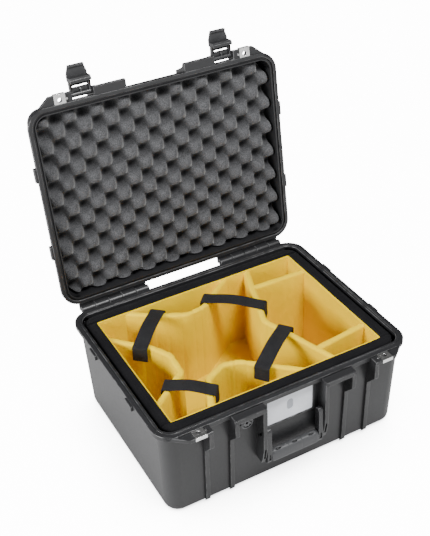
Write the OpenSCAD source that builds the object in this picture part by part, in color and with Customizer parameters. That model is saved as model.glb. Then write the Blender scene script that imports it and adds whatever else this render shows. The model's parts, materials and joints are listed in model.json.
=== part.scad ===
// Hard protective carrying case with a padded, divided insert for a
// quadcopter. The lid stands open on its stop; front is -Y, hinges at +Y.

/* [Case] */
// Outside width of the rim
rim_w = 489; // [440:1:600]
// Outside depth of the rim
rim_d = 379; // [330:1:460]
// Height of the base, from the floor to the rim's top
base_h = 189; // [160:1:230]
// Height of the lid above its rim plane
lid_h = 55; // [45:1:70]
// Corner radius of the rim, seen from above
corner_r = 35; // [25:1:45]
// Thickness of the moulded walls
wall_t = 4; // [3:0.5:6]
// How far the rim stands out past the wall
rim_lip = 8.5; // [6:0.5:12]
// Thickness of the rim flange
rim_t = 9; // [7:0.5:12]
// Inward lean of the base walls from the rim to the floor, per side
draft = 5.25; // [2:0.25:8]
// Rounding of the bottom edge
edge_r = 12; // [6:1:16]
// Lid angle from closed to its open stop
open_angle = 98.35; // [80:0.05:110]

/* [Hinges] */
// Hinge axis behind the rim's back edge
hinge_back = 10.6; // [9:0.1:14]
// Hinge axis below the rim's top
hinge_drop = 4.1; // [2:0.1:6]
// Inner end of each hinge, from the middle of the case
hinge_x0 = 78; // [60:1:100]
// Outer end of each hinge, in from the case's side
hinge_in = 28.5; // [26:0.5:50]
// Diameter of the hinge pins
hinge_pin_d = 5; // [4:0.5:6]
// Outside diameter of the hinge knuckles
knuckle_d = 14; // [12:0.5:16]

/* [Latches] */
// Middle of each latch, in from the case's side
latch_in = 106.75; // [100:0.25:110]
// Width of a latch
latch_w = 38.5; // [32:0.5:44]
// Thickness of the guard fins beside each latch
fin_t = 8; // [5:0.5:10]
// How far the guard fins stand out past the rim
fin_out = 14.5; // [12:0.5:18]
// Diameter of the latch pivot pin
latch_pin_d = 4; // [3:0.5:5]
// From a latch's pivot to the end of its lever
latch_reach = 50; // [46:1:56]
// Diameter of the lever pin
lever_pin_d = 2.5; // [2:0.25:3]

/* [Handle] */
// Middle of each handle arm, from the middle of the case
handle_x = 51.5; // [45:0.5:56]
// Width of a handle arm
handle_arm_w = 9; // [7:0.5:11]
// Handle's pivot below the rim's top
handle_drop = 68; // [64:1:76]
// From the handle's pivot to the middle of the grip
handle_reach = 57; // [50:1:65]
// Diameter of the handle pins
handle_pin_d = 5; // [4:0.5:6]
// Height of the grip's section
grip_h = 26; // [20:1:30]
// Thickness of the grip's section
grip_t = 17; // [13:1:20]

/* [Lock plates] */
// Padlock holes, in from the case's side
lock_in = 64; // [60:0.5:66]
// Padlock holes in front of the rim's front edge
lock_out = 7; // [6:0.5:9]
// Diameter of the padlock holes
lock_hole_d = 8; // [6:0.5:9]

/* [Card holder and valve] */
// Width of the card window
card_w = 90; // [80:1:94]
// Height of the card window
card_h = 50; // [44:1:52]
// Card window's lower edge below the rim's top
card_drop = 69; // [64:1:72]
// Valve's middle below the rim's top
valve_drop = 31; // [28:0.5:34]
// Diameter of the valve's flange
valve_d = 23; // [18:0.5:24]

/* [Insert] */
// Thickness of the wall pads
pad_t = 20; // [16:0.5:26]
// Thickness of the dividers
divider_t = 12; // [8:1:16]
// Thickness of the floor pad
floor_pad_t = 12; // [8:1:16]
// Dividers' top below the rim
divider_drop = 7; // [4:1:20]
// Width of the hold-down straps
strap_w = 28; // [20:1:34]
// Thickness of the hold-down straps
strap_t = 2; // [1.5:0.5:3]
// Gap between a strap's tail and the divider it hangs over
tail_clear = 0.4; // [0.2:0.1:3]
// Thickness of the convoluted foam in the lid, at its middle
foam_t = 37; // [25:1:45]

/* [Hidden] */
$fn = 48;
hull_fn = 32;

// Clearances
run = 0.05;          // radial play of a pin that turns
seat = 0.3;          // gap between soft pieces and what they stand in
lid_gap = 0.4;       // lid rim above base rim when closed
side_play = 0.5;     // gap at each side of a latch

// Case
hx = rim_w / 2;
hy = rim_d / 2;
wall_x = hx - rim_lip;
wall_y = hy - rim_lip;
wall_r = corner_r - rim_lip;
rim_in = rim_lip + wall_t + 1;       // rim's inner edge behind its outer edge
tongue_in = 8;                       // tongue behind the rim's outer edge
tongue_w = 3;
tongue_h = 2.5;
lid_z = base_h + lid_gap;
lid_top = lid_z + lid_h;
lid_edge_r = 10;
lid_draft = 3;
hinge_x1 = hx - hinge_in;
hinge_y = hy + hinge_back;
hinge_z = base_h - hinge_drop;
function front_y(z) = -wall_y + draft * (1 - z / base_h);

// Guard fins and latches
latch_x = hx - latch_in;
gap_w = latch_w + 2 * side_play;
fin_in = latch_x - gap_w / 2 - fin_t;     // inner fin, its inner face
fin_far = latch_x + gap_w / 2;            // outer fin, its inner face
fin_y = -hy - fin_out;
rib_out = 4.5;
fin_low = base_h - 69;
pivot_y = -hy - 7;
pivot_z = lid_z + 12;
bar_top = base_h - rim_t - 0.6;
bar_t = 8;
bar_in = -wall_y - 3.5;
arm_t = 4;
arm_out = pivot_y - 5;
arm_in = -hy - 2;
lever_y = pivot_y - 1.5;
lever_z = bar_top + 4.5;
lever_t = 3.2;

// Blocks that carry the handle, and the handle
ear_in = handle_x + handle_arm_w / 2 + 1;
ear_t = 8;
plate_t = 9;
block_face = -hy - 7;
handle_y = -hy - 3.5;
handle_z = base_h - handle_drop;
grip_z = handle_z - handle_reach;
block_low = grip_z - 12;
block_knee = base_h - 41;            // below here the block leans back

// Card window, let into the wall
card_z = base_h - card_drop;
card_y = -wall_y + 2.4;              // back of the pocket

// Valve, between the handle's ear and the inner fin
valve_x = (ear_in + ear_t + fin_in) / 2 + 2;
valve_z = base_h - valve_drop;
valve_bore = 13;
valve_face = -wall_y - 4.5;

// Lock plates
lock_x = hx - lock_in;
plate_top = base_h - 0.4;
lock_y = -hy - lock_out;
lock_plate_t = 2;
lock_plate_w = 21;
lock_screw_d = 4;                    // head
screw_d = 2.4;                       // shank
lock_screw_x = lock_x - lock_plate_w / 2 - lock_screw_d / 2 - 0.3;

// Insert
pad_x = wall_x - wall_t - draft - seat;
pad_y = wall_y - wall_t - draft - seat;
pad_r = wall_r - wall_t - seat;
ix = pad_x - pad_t;
iy = pad_y - pad_t;
floor_z = wall_t + 0.2;
deck_z = floor_z + floor_pad_t + 0.2;
divider_z = base_h - divider_drop;
// Plan of each divider, for an insert of 412 by 304; scaled to the insert
function plan(pts) = [for (p = pts) [p[0] * ix / 206, p[1] * iy / 152]];
left_path = plan([[-208, 102], [-150, 42], [-130, 4], [-134, -46], [-208, -100]]);
front_path = plan([[-134, -156], [-104, -86], [-64, -66], [-34, -74], [56, -156]]);
back_path = plan([[-150, 156], [-92, 114], [-50, 92], [-12, 98], [66, 156]]);
right_path = plan([[112, 156], [60, 2], [112, -156]]);
battery_path = plan([[80, 100], [210, 96]]);
controller_path = plan([[80, -112], [210, -100]]);

// ---------------------------------------------------------------- helpers
// Rectangle with round corners, from squares and circles
module rounded(w, d, r) {
  square([w - 2 * r, d], center = true);
  square([w, d - 2 * r], center = true);
  for (sx = [-1, 1], sy = [-1, 1])
    translate([sx * (w / 2 - r), sy * (d / 2 - r)]) circle(r);
}

// Ring along the rim, from one inset to another
module rim_ring(inset_a, inset_b, z0, z1) {
  translate([0, 0, z0]) linear_extrude(z1 - z0) difference() {
    rounded(rim_w - 2 * inset_a, rim_d - 2 * inset_a, corner_r - inset_a);
    rounded(rim_w - 2 * inset_b, rim_d - 2 * inset_b, corner_r - inset_b);
  }
}

// Profile given in (y, z), extruded along X from x0 to x1
module side_profile(x0, x1, points) {
  translate([x0, 0, 0]) rotate([90, 0, 90]) linear_extrude(x1 - x0)
    polygon(points);
}

// Cylinder along X
module x_rod(x0, x1, y, z, d) {
  translate([x0, y, z]) rotate([0, 90, 0]) cylinder(d = d, h = x1 - x0);
}

// Children as drawn at +X, and mirrored to -X
module both_sides() {
  children();
  mirror([1, 0, 0]) children();
}

// Children as drawn at the right, or mirrored to the left
module on_side(side) {
  if (side < 0) mirror([1, 0, 0]) children();
  else children();
}

// Closed lid turned back to its open stop
module lid_place() {
  translate([0, hinge_y, hinge_z]) rotate([-open_angle, 0, 0])
    translate([0, -hinge_y, -hinge_z]) children();
}

// Closed latch swung out from the lid, and turned with the lid
module latch_place(side) {
  lid_place() translate([0, pivot_y, pivot_z]) rotate([-90, 0, 0])
    translate([0, -pivot_y, -pivot_z]) on_side(side) children();
}

// Round-cornered solid that leans in from its top to its bottom and is
// rounded at its bottom edge; the flat side is at z = top
module tub(wx, wy, r, bottom, top, lean, edge) {
  steps = 4;
  hull() for (sx = [-1, 1], sy = [-1, 1]) {
    translate([sx * (wx - r), sy * (wy - r), top - 0.01])
      cylinder(r = r, h = 0.01, $fn = hull_fn);
    for (i = [0 : steps]) {
      a = 90 * i / steps;
      inset = edge * (1 - sin(a));
      translate([sx * (wx - lean - r), sy * (wy - lean - r),
                 bottom + edge * (1 - cos(a))])
        cylinder(r = r - inset, h = 0.01, $fn = hull_fn);
    }
  }
}

// Unit normal of the leg from a to b
function leg_normal(a, b) = [a[1] - b[1], b[0] - a[0]] / norm(b - a);

// Vector from point i of a path to its mitred edge, for a half width of 1
function mitre(path, i) =
  i == 0 ? leg_normal(path[0], path[1])
  : i == len(path) - 1 ? leg_normal(path[i - 1], path[i])
  : let (n = leg_normal(path[i - 1], path[i])
             + leg_normal(path[i], path[i + 1])) 2 * n / (n * n);

// Flat bar of thickness t that follows a plan path
module stroke(path, t) {
  last = len(path) - 1;
  polygon(concat(
    [for (i = [0 : last]) path[i] + mitre(path, i) * t / 2],
    [for (i = [last : -1 : 0]) path[i] - mitre(path, i) * t / 2]));
}

// Padded divider that follows a plan path and stops at the insert's walls
module divider(path) {
  translate([0, 0, deck_z]) linear_extrude(divider_z - deck_z)
    intersection() {
      stroke(path, divider_t);
      square([2 * (ix - seat), 2 * (iy - seat)], center = true);
    }
}

// How far past a divider's middle the tail of a strap hangs to stay clear of
// it, for the strap's direction d and the direction e of the divider's leg
function tail_over(d, e) = let (
    across = abs(cross(d, e)) / (norm(d) * norm(e)),
    along = abs(d * e) / (norm(d) * norm(e)))
  max(divider_t / 2 + 7,
      (divider_t + strap_w * along) / (2 * across) + tail_clear);

// Webbing strap across the dividers' tops, from share s of leg i of path p to
// share t of leg j of path q, with a tail of the given drop at each end
module strap(p, i, s, q, j, t, drop) {
  a = along(p, i, s);
  b = along(q, j, t);
  d = b - a;
  l = norm(d);
  over = tail_over(d, p[i + 1] - p[i]);
  over_b = tail_over(d, q[j + 1] - q[j]);
  z = divider_z + 0.3;
  rise = 5;
  translate([a[0], a[1], 0]) rotate([0, 0, atan2(d[1], d[0])])
    translate([0, strap_w / 2, 0]) rotate([90, 0, 0])
      linear_extrude(strap_w) polygon([
        [-over - strap_t, z - drop], [-over, z - drop], [-over, z],
        [over, z], [l / 2 - 12, z + rise], [l / 2 + 12, z + rise],
        [l - over_b, z], [l + over_b, z], [l + over_b, z - drop],
        [l + over_b + strap_t, z - drop], [l + over_b + strap_t, z + strap_t],
        [l - over_b, z + strap_t], [l / 2 + 12, z + rise + strap_t],
        [l / 2 - 12, z + rise + strap_t], [over, z + strap_t],
        [-over - strap_t, z + strap_t]]);
}

// Knuckles number first, first + 2, ... of the five at one hinge
module knuckles(first) {
  count = 5;
  pitch = (hinge_x1 - hinge_x0) / count;
  for (i = [first : 2 : count - 1])
    translate([hinge_x0 + i * pitch + 0.4, 0, 0])
      knuckle_at(pitch - 0.8, first == 0);
}

module knuckle_at(w, is_base) {
  r = knuckle_d / 2;
  x_rod(0, w, hinge_y, hinge_z, knuckle_d);
  if (is_base)
    side_profile(0, w, [
      [wall_y - 1, base_h - rim_t - 18], [wall_y + 4, base_h - rim_t - 18],
      [hinge_y + r * 0.7, hinge_z - r * 0.7], [hinge_y, hinge_z + 1],
      [hy - 1, hinge_z + 1], [wall_y - 1, base_h - rim_t]]);
  else
    side_profile(0, w, [
      [hinge_y - r, hinge_z], [hinge_y + r, hinge_z],
      [hinge_y + r - 3, lid_z + 16], [wall_y - 3, lid_z + 26],
      [wall_y - 3, lid_z + rim_t - 1], [hinge_y - r, lid_z + rim_t - 1]]);
}

// Platform at a front corner that carries a lock plate, in plan
module lock_platform(z0, z1) {
  translate([0, 0, z0]) linear_extrude(z1 - z0) polygon([
    [fin_far, -hy + 12], [fin_far, fin_y - 1.5], [lock_x + 19, fin_y - 1.5],
    [hx - 19, -hy + 5], [hx - 19, -hy + 12]]);
}

// Lock plate: a flat plate with a turned-down front edge, top face at z
module lock_plate(z, down) {
  y0 = fin_y - 1.5 - lock_plate_t;
  difference() {
    union() {
      translate([lock_x - lock_plate_w / 2, y0, down ? z - lock_plate_t : z])
        cube([lock_plate_w, -hy - 0.2 - y0, lock_plate_t]);
      translate([lock_x - lock_plate_w / 2, y0, down ? z - 7 : z])
        cube([lock_plate_w, lock_plate_t, 7]);
    }
    translate([lock_x, lock_y, z - 10]) cylinder(d = lock_hole_d, h = 20);
  }
}

// ------------------------------------------------------------------- base
module base_block() {
  // Top plate with round front corners and a raised bar along its front
  x0 = ear_in;
  x1 = fin_in + fin_t;
  y0 = fin_y - 1;
  r = 6;
  translate([0, 0, base_h - rim_t - 3]) linear_extrude(rim_t - 0.5) {
    translate([x0, y0 + r]) square([x1 - x0, -wall_y + 2 - y0 - r]);
    translate([x0 + r, y0]) square([x1 - x0 - 2 * r, r + 1]);
    for (x = [x0 + r, x1 - r]) translate([x, y0 + r]) circle(r);
  }
  translate([x0 + r, y0 + 0.4, base_h - 4]) cube([x1 - x0 - 1.6 * r, 2, 2.4]);
  // Ear that carries the handle's pin
  side_profile(ear_in, ear_in + ear_t, [
    [front_y(block_low) + 2, block_low + 6], [handle_y - 2, block_low + 4],
    [fin_y + 5, grip_z + 4], [fin_y + 1, grip_z + 26],
    [fin_y + 1, base_h - rim_t], [front_y(block_knee) + 2, base_h - rim_t]]);
}

module base_fin(x) {
  side_profile(x, x + fin_t, [
    [front_y(fin_low) + 2, fin_low], [front_y(fin_low) - rib_out, fin_low + 6],
    [fin_y, block_knee + 1], [fin_y, base_h - rim_t],
    [front_y(block_knee) + 2, base_h - rim_t]]);
  side_profile(x, x + fin_t, [
    [front_y(edge_r) + 2, 2], [front_y(0) + 1, 2], [front_y(9) - rib_out, 9],
    [front_y(block_knee) - rib_out, block_knee],
    [front_y(block_knee) + 2, block_knee], [front_y(edge_r) + 2, edge_r + 8]]);
}

// Guides that hold the card window at its sides and below
module card_guides() {
  for (sx = [-1, 1])
    translate([sx * (card_w / 2 + 2.5) - 2.5, -wall_y - 1, card_z])
      cube([5, 4, card_h + 2]);
  translate([-card_w / 2 - 5, -wall_y - 1, card_z - 3])
    cube([card_w + 10, 5, 3]);
}

module stabiliser(z0, z1) {
  for (sy = [-1, 1])
    translate([hx - 3, sy * 75 - 13, z0]) cube([7, 26, z1 - z0]);
}

module base_shell() {
  color("#4b4d50") difference() {
    union() {
      difference() {
        tub(wall_x, wall_y, wall_r, 0, base_h - 1, draft, edge_r);
        tub(wall_x - wall_t, wall_y - wall_t, wall_r - wall_t, wall_t,
            base_h, draft, edge_r - wall_t);
      }
      rim_ring(0, rim_in, base_h - rim_t, base_h);
      rim_ring(tongue_in, tongue_in + tongue_w, base_h - 1, base_h + tongue_h);
      card_guides();
      both_sides() {
        base_block();
        base_fin(fin_in);
        base_fin(fin_far);
        lock_platform(base_h - rim_t, base_h - lock_plate_t - 0.4);
        stabiliser(base_h - rim_t - 3, base_h - 2);
        knuckles(0);
      }
      // Boss for the valve
      translate([-valve_x, -wall_y + 2, valve_z]) rotate([90, 0, 0])
        cylinder(d = valve_d + 2, h = -wall_y + 2 - valve_face);
    }
    both_sides() {
      x_rod(hinge_x0 - 1, hinge_x1 - 2.4, hinge_y, hinge_z, hinge_pin_d);
      x_rod(ear_in - 1, ear_in + ear_t + 5, handle_y, handle_z, handle_pin_d);
      translate([lock_x, lock_y, base_h - 20])
        cylinder(d = lock_hole_d, h = 20);
      translate([lock_screw_x, lock_y, base_h - rim_t + 1])
        cylinder(d = screw_d, h = 20);
      // Slot in the ear's front
      translate([ear_in + ear_t / 2 - 1.5, fin_y - 2, grip_z + 4])
        cube([3, 9, 24]);
    }
    // Pocket for the card and its window
    translate([-card_w / 2, -hy, card_z]) cube([card_w, hy + card_y, card_h + 2]);
    // Valve bore, with a seat for its nut inside
    translate([-valve_x, 0, valve_z]) rotate([90, 0, 0])
      cylinder(d = valve_bore, h = hy + 30);
    translate([-valve_x, -wall_y + wall_t + 6.5, valve_z]) rotate([90, 0, 0])
      cylinder(d = 20, h = 12);
  }
}

// ----------------------------------------------------------------- insert
// Part of the insert's outline, from corner a to corner b, as a wall pad
module liner_pad(a, b) {
  translate([0, 0, deck_z]) linear_extrude(base_h - 2 - deck_z)
    intersection() {
      rounded(2 * pad_x, 2 * pad_y, pad_r);
      translate(a) square(b - a);
    }
}

module liner_pad_x() { liner_pad([ix, seat - iy], [pad_x + 1, iy - seat]); }
module liner_pad_y() { liner_pad([-pad_x - 1, iy], [pad_x + 1, pad_y + 1]); }

module liner_floor() {
  color("#1c1c1e") translate([0, 0, floor_z]) linear_extrude(floor_pad_t)
    rounded(2 * (pad_x - edge_r + wall_t), 2 * (pad_y - edge_r + wall_t),
            wall_r - edge_r + 1.5);
}

module liner_left() { color("#1c1c1e") mirror([1, 0, 0]) liner_pad_x(); }
module liner_right() { color("#1c1c1e") liner_pad_x(); }
module liner_back() { color("#1c1c1e") liner_pad_y(); }
module liner_front() { color("#1c1c1e") mirror([0, 1, 0]) liner_pad_y(); }

module divider_left() { color("#f3cf3a") divider(left_path); }
module divider_front() { color("#f3cf3a") divider(front_path); }
module divider_back() { color("#f3cf3a") divider(back_path); }
module divider_right() { color("#f3cf3a") divider(right_path); }

module cross_divider(path) {
  difference() {
    divider(path);
    translate([0, 0, deck_z - 1]) linear_extrude(base_h) {
      stroke(right_path, divider_t + 2 * seat);
      polygon(concat([[-pad_x, pad_y]], right_path, [[-pad_x, -pad_y]]));
    }
  }
}

module divider_battery() {
  color("#f3cf3a") cross_divider(battery_path);
}

module divider_controller() {
  color("#f3cf3a") cross_divider(controller_path);
}

// Point on segment i of a path, a share s along it
function along(path, i, s) = path[i] + s * (path[i + 1] - path[i]);

module strap_back_left() {
  color("#202022")
    strap(back_path, 0, 0.85, left_path, 0, 0.8, 28);
}
module strap_back_right() {
  color("#202022")
    strap(back_path, 3, 0.2, right_path, 0, 0.72, 28);
}
module strap_front_right() {
  color("#202022")
    strap(front_path, 3, 0.35, right_path, 1, 0.28, 28);
}
module strap_front_left() {
  color("#202022")
    strap(front_path, 0, 0.62, left_path, 3, 0.45, 28);
}

// -------------------------------------------------- base's small fittings
module base_lock_plates() {
  color("#d9dadb") both_sides() lock_plate(plate_top, true);
}

module lock_screw(z) {
  translate([lock_screw_x, lock_y, z]) cylinder(d = lock_screw_d, h = 1.4);
  translate([lock_screw_x, lock_y, z - 5]) cylinder(d = screw_d, h = 5.2);
}

module base_lock_screws() {
  color("#bfc1c3") both_sides() lock_screw(base_h - lock_plate_t - 0.4);
}

module id_card() {
  color("#f2f2f0") translate([-card_w / 2 + 1, card_y - 0.55, card_z + 0.6])
    cube([card_w - 2, 0.5, card_h]);
}

module card_window() {
  color("#c9ccd2") difference() {
    translate([-card_w / 2 + 0.2, card_y - 2.1, card_z + 0.3])
      cube([card_w - 0.4, 1.4, card_h + 1]);
    translate([0, card_y - 1.7, card_z + card_h * 0.6])
      rotate([90, 0, 0]) linear_extrude(2) {
        square([12, 10], center = true);
        translate([0, 5]) circle(d = 12);
        translate([0, -5]) circle(d = 12);
      }
  }
}

module y_disc(d, y0, y1) {
  translate([-valve_x, y1, valve_z]) rotate([90, 0, 0])
    cylinder(d = d, h = y1 - y0);
}

module valve_body() {
  color("#3f4144") difference() {
    union() {
      y_disc(valve_d, valve_face - 5.5, valve_face - 1);
      y_disc(valve_bore - 0.1, valve_face - 1, -wall_y + wall_t - 0.2);
    }
    y_disc(5, valve_face - 10, -wall_y + 20);
    for (a = [0 : 45 : 315])
      translate([-valve_x, valve_face - 4, valve_z]) rotate([0, a, 0])
        translate([valve_d * 0.34, 0, 0]) rotate([90, 0, 0])
          cylinder(d = 3, h = 4);
  }
}

module valve_seal() {
  color("#151516") difference() {
    y_disc(valve_d - 2, valve_face - 0.95, valve_face - 0.05);
    y_disc(valve_bore + 0.6, valve_face - 3, valve_face + 3);
  }
}

module valve_nut() {
  color("#3f4144") difference() {
    translate([-valve_x, -wall_y + wall_t - 0.3, valve_z])
      rotate([90, 0, 0]) cylinder(d = 19, h = 4.5, $fn = 6);
    y_disc(valve_bore + 0.1, -wall_y - 10, -wall_y + 20);
  }
}

module hinge_pin() {
  x_rod(hinge_x0 - 0.2, hinge_x1 - 2.6, hinge_y, hinge_z,
        hinge_pin_d - 2 * run);
}
module hinge_pin_left() { color("#c8cacc") mirror([1, 0, 0]) hinge_pin(); }
module hinge_pin_right() { color("#c8cacc") hinge_pin(); }

module handle_pin() {
  x_rod(handle_x - handle_arm_w / 2 + 1, ear_in + ear_t + 4.8, handle_y,
        handle_z, handle_pin_d - 2 * run);
}
module handle_pin_left() { color("#c8cacc") mirror([1, 0, 0]) handle_pin(); }
module handle_pin_right() { color("#c8cacc") handle_pin(); }

// ----------------------------------------------------------------- handle
// Flat section with round ends, in (y, z)
module oval(t, h) {
  square([t, h - t], center = true);
  for (s = [-1, 1]) translate([0, s * (h - t) / 2]) circle(d = t);
}

module handle_frame() {
  color("#232426") difference() {
    union() {
      both_sides() {
        x0 = handle_x - handle_arm_w / 2;
        x_rod(x0, x0 + handle_arm_w, handle_y, handle_z, 12);
        side_profile(x0, x0 + handle_arm_w, [
          [handle_y - 6, handle_z], [handle_y + 6, handle_z],
          [handle_y + 5.5, grip_z - 6], [handle_y + 2, grip_z - 12],
          [handle_y - 4, grip_z - 12], [handle_y - 8, grip_z - 4]]);
      }
      translate([-handle_x, handle_y - 1, grip_z]) rotate([90, 0, 90])
        linear_extrude(2 * handle_x) oval(8, grip_h - 10);
    }
    both_sides() {
      x_rod(handle_x - handle_arm_w / 2 + 0.9, handle_x + handle_arm_w,
            handle_y, handle_z, handle_pin_d);
      // Oval recess at the foot of each arm
      translate([handle_x, handle_y - 6, grip_z + 2]) rotate([90, 0, 0])
        linear_extrude(6) {
          square([4, 10], center = true);
          translate([0, 5]) circle(d = 4);
          translate([0, -5]) circle(d = 4);
        }
    }
  }
}

module handle_grip() {
  half = handle_x - handle_arm_w / 2 - 0.3;
  color("#2e2f32") difference() {
    translate([-half, handle_y - 1, grip_z]) rotate([90, 0, 90])
      linear_extrude(2 * half) oval(grip_t, grip_h);
    translate([-half - 1, handle_y - 1, grip_z]) rotate([90, 0, 90])
      linear_extrude(2 * half + 2) oval(8.1, grip_h - 9.9);
  }
}

// -------------------------------------------------------------------- lid
module lid_block() {
  side_profile(ear_in, fin_in + fin_t, [
    [-wall_y + 2, lid_z + 1], [fin_y - 1, lid_z + 1], [fin_y - 1, lid_z + 9],
    [block_face, lid_z + 14], [-wall_y - 4, lid_z + 42],
    [-wall_y + 2, lid_z + 42]]);
}

module lid_fin(x) {
  side_profile(x, x + fin_t, [
    [-wall_y + 2, lid_z + 1], [fin_y, lid_z + 1], [fin_y, pivot_z + 3],
    [pivot_y + 2, pivot_z + 9], [-wall_y + 2, pivot_z + 16]]);
}

module lid_shell() {
  color("#47494c") lid_place() difference() {
    union() {
      difference() {
        translate([0, 0, lid_z + lid_top]) mirror([0, 0, 1])
          tub(wall_x, wall_y, wall_r, lid_z, lid_top - 1, lid_draft,
              lid_edge_r);
        translate([0, 0, lid_z + lid_top]) mirror([0, 0, 1])
          tub(wall_x - wall_t, wall_y - wall_t, wall_r - wall_t,
              lid_z + wall_t, lid_top + 1, lid_draft, lid_edge_r - wall_t);
      }
      rim_ring(0, rim_in, lid_z, lid_z + rim_t);
      // Raised panel with its border on the lid's top
      translate([0, 0, lid_top - 0.5]) linear_extrude(2.5)
        difference() {
          rounded(rim_w - 110, rim_d - 110, 24);
          rounded(rim_w - 126, rim_d - 126, 18);
        }
      both_sides() {
        lid_block();
        // Web that closes the gap between the rim and the latch's hub
        translate([fin_in + 1, -hy - 1.2, lid_z + 1])
          cube([gap_w + fin_t, 3, rim_t - 1]);
        lid_fin(fin_in);
        lid_fin(fin_far);
        lock_platform(lid_z + lock_plate_t + 0.4, lid_z + rim_t);
        stabiliser(lid_z + 2, lid_z + rim_t + 3);
        knuckles(1);
      }
    }
    // Groove for the seal and the base's tongue
    rim_ring(tongue_in - 0.6, tongue_in + tongue_w + 0.6, lid_z - 1,
             lid_z + 5.5);
    both_sides() {
      x_rod(hinge_x0 - 1, hinge_x1 + 1, hinge_y, hinge_z, hinge_pin_d);
      x_rod(fin_in - 1, fin_far + fin_t - 1.5, pivot_y, pivot_z, latch_pin_d);
      translate([lock_x, lock_y, lid_z - 1])
        cylinder(d = lock_hole_d, h = 20);
      translate([lock_screw_x, lock_y, lid_z - 1])
        cylinder(d = screw_d, h = 6.5);
    }
  }
}

module lid_seal() {
  color("#101011") lid_place()
    rim_ring(tongue_in - 0.4, tongue_in + tongue_w + 0.4, lid_z + 3,
             lid_z + 5.3);
}

module lid_foam() {
  w = 2 * (wall_x - wall_t - lid_draft - seat);
  d = 2 * (wall_y - wall_t - lid_draft - seat);
  z1 = lid_top - wall_t - 1;
  color("#3c3d3f") lid_place() translate([0, 0, z1 - foam_t])
    linear_extrude(foam_t - 7) rounded(w, d, wall_r);
}

module lid_lock_plates() {
  color("#d9dadb") lid_place() both_sides() lock_plate(lid_z + 0.4, false);
}

module lid_lock_screws() {
  color("#bfc1c3") lid_place() both_sides() {
    translate([lock_screw_x, lock_y, lid_z + 1])
      cylinder(d = lock_screw_d, h = 1.4);
    translate([lock_screw_x, lock_y, lid_z + 2.2])
      cylinder(d = screw_d, h = 3.2);
  }
}

module latch_pin() {
  x_rod(fin_in + 0.3, fin_far + fin_t - 1.8, pivot_y, pivot_z,
        latch_pin_d - 2 * run);
}
module latch_pin_left() {
  color("#c8cacc") lid_place() mirror([1, 0, 0]) latch_pin();
}
module latch_pin_right() { color("#c8cacc") lid_place() latch_pin(); }

// ---------------------------------------------------------------- latches
module latch_frame(side) {
  x0 = latch_x - latch_w / 2;
  x1 = latch_x + latch_w / 2;
  color("#3a3c3f") latch_place(side) difference() {
    union() {
      x_rod(x0, x1, pivot_y, pivot_z, 9.6);
      // Outer web, above the lever
      side_profile(x0, x1, [
        [arm_out, lever_z + 6], [arm_out + 4.4, lever_z + 6],
        [arm_out + 4.4, pivot_z], [arm_out + 0.4, pivot_z]]);
      // Side arms
      for (x = [x0, x1 - arm_t])
        side_profile(x, x + arm_t, [
          [arm_out, bar_top - bar_t], [arm_in - 1, bar_top - bar_t],
          [arm_in - 0.5, pivot_z - 3], [arm_out, pivot_z - 1]]);
      // Middle rib
      side_profile(latch_x - 1.5, latch_x + 1.5, [
        [arm_out + 4, lever_z + 6], [arm_in - 2, lever_z + 10],
        [arm_in - 2, pivot_z - 3], [arm_out + 4, pivot_z]]);
      // Hook bar that goes under the base's rim
      side_profile(x0, x1, [
        [arm_out, bar_top - bar_t], [bar_in - 3, bar_top - bar_t],
        [bar_in, bar_top - bar_t + 3], [bar_in, bar_top],
        [bar_in - 3.5, bar_top], [bar_in - 5, bar_top - 2],
        [arm_out, bar_top - 2]]);
    }
    x_rod(x0 - 1, x1 + 1, pivot_y, pivot_z, latch_pin_d);
    x_rod(x0 - 1, x1 - 1.5, lever_y, lever_z, lever_pin_d);
  }
}
module latch_frame_left() { latch_frame(-1); }
module latch_frame_right() { latch_frame(1); }

module lever_pin(side) {
  color("#c8cacc") latch_place(side)
    x_rod(latch_x - latch_w / 2 + 0.2, latch_x + latch_w / 2 - 1.6, lever_y,
          lever_z, lever_pin_d - 2 * run);
}
module lever_pin_left() { lever_pin(-1); }
module lever_pin_right() { lever_pin(1); }

module lever_spring(side) {
  turns = 6;
  pitch = 1.5;
  color("#3c3d40") latch_place(side)
    for (i = [0 : turns - 1])
      translate([latch_x - (turns / 2 - i) * pitch, lever_y, lever_z])
        rotate([0, 90, 0]) difference() {
          cylinder(d = 6, h = 1.2);
          translate([0, 0, -1]) cylinder(d = 4, h = 4);
        }
}
module lever_spring_left() { lever_spring(-1); }
module lever_spring_right() { lever_spring(1); }

module latch_lever(side) {
  inner = latch_w / 2 - arm_t - 0.5;
  y0 = arm_out - 0.6 - lever_t;
  low = pivot_z - latch_reach;
  color("#54565a") latch_place(side) difference() {
    union() {
      // Tongue between the arms, and the wide pull cap below it
      translate([latch_x, y0 + lever_t, 0]) rotate([90, 0, 0])
        linear_extrude(lever_t) polygon([
          [-inner, lever_z + 4], [inner, lever_z + 4], [inner, lever_z - 4],
          [latch_w / 2, lever_z - 5], [latch_w / 2, bar_top - bar_t - 4],
          [latch_w / 2 - 5, low], [5 - latch_w / 2, low],
          [-latch_w / 2, bar_top - bar_t - 4], [-latch_w / 2, lever_z - 5],
          [-inner, lever_z - 4]]);
      // Grip edge turned in at the cap's end
      side_profile(latch_x - latch_w / 2 + 5, latch_x + latch_w / 2 - 5, [
        [y0, low], [y0 + 8, low], [y0 + 8, low + 3], [y0 + lever_t, low + 6],
        [y0, low + 6]]);
      // Ears round the lever pin
      for (s = [-1, 1]) translate([latch_x + s * (inner - 1.5) - 1.5, 0, 0]) {
        side_profile(0, 3, [
          [y0 + 1, lever_z - 3], [lever_y, lever_z - 3],
          [lever_y, lever_z + 3], [y0 + 1, lever_z + 3]]);
        x_rod(0, 3, lever_y, lever_z, 6);
      }
    }
    x_rod(latch_x - latch_w, latch_x + latch_w, lever_y, lever_z,
          lever_pin_d);
  }
}
module latch_lever_left() { latch_lever(-1); }
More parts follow.
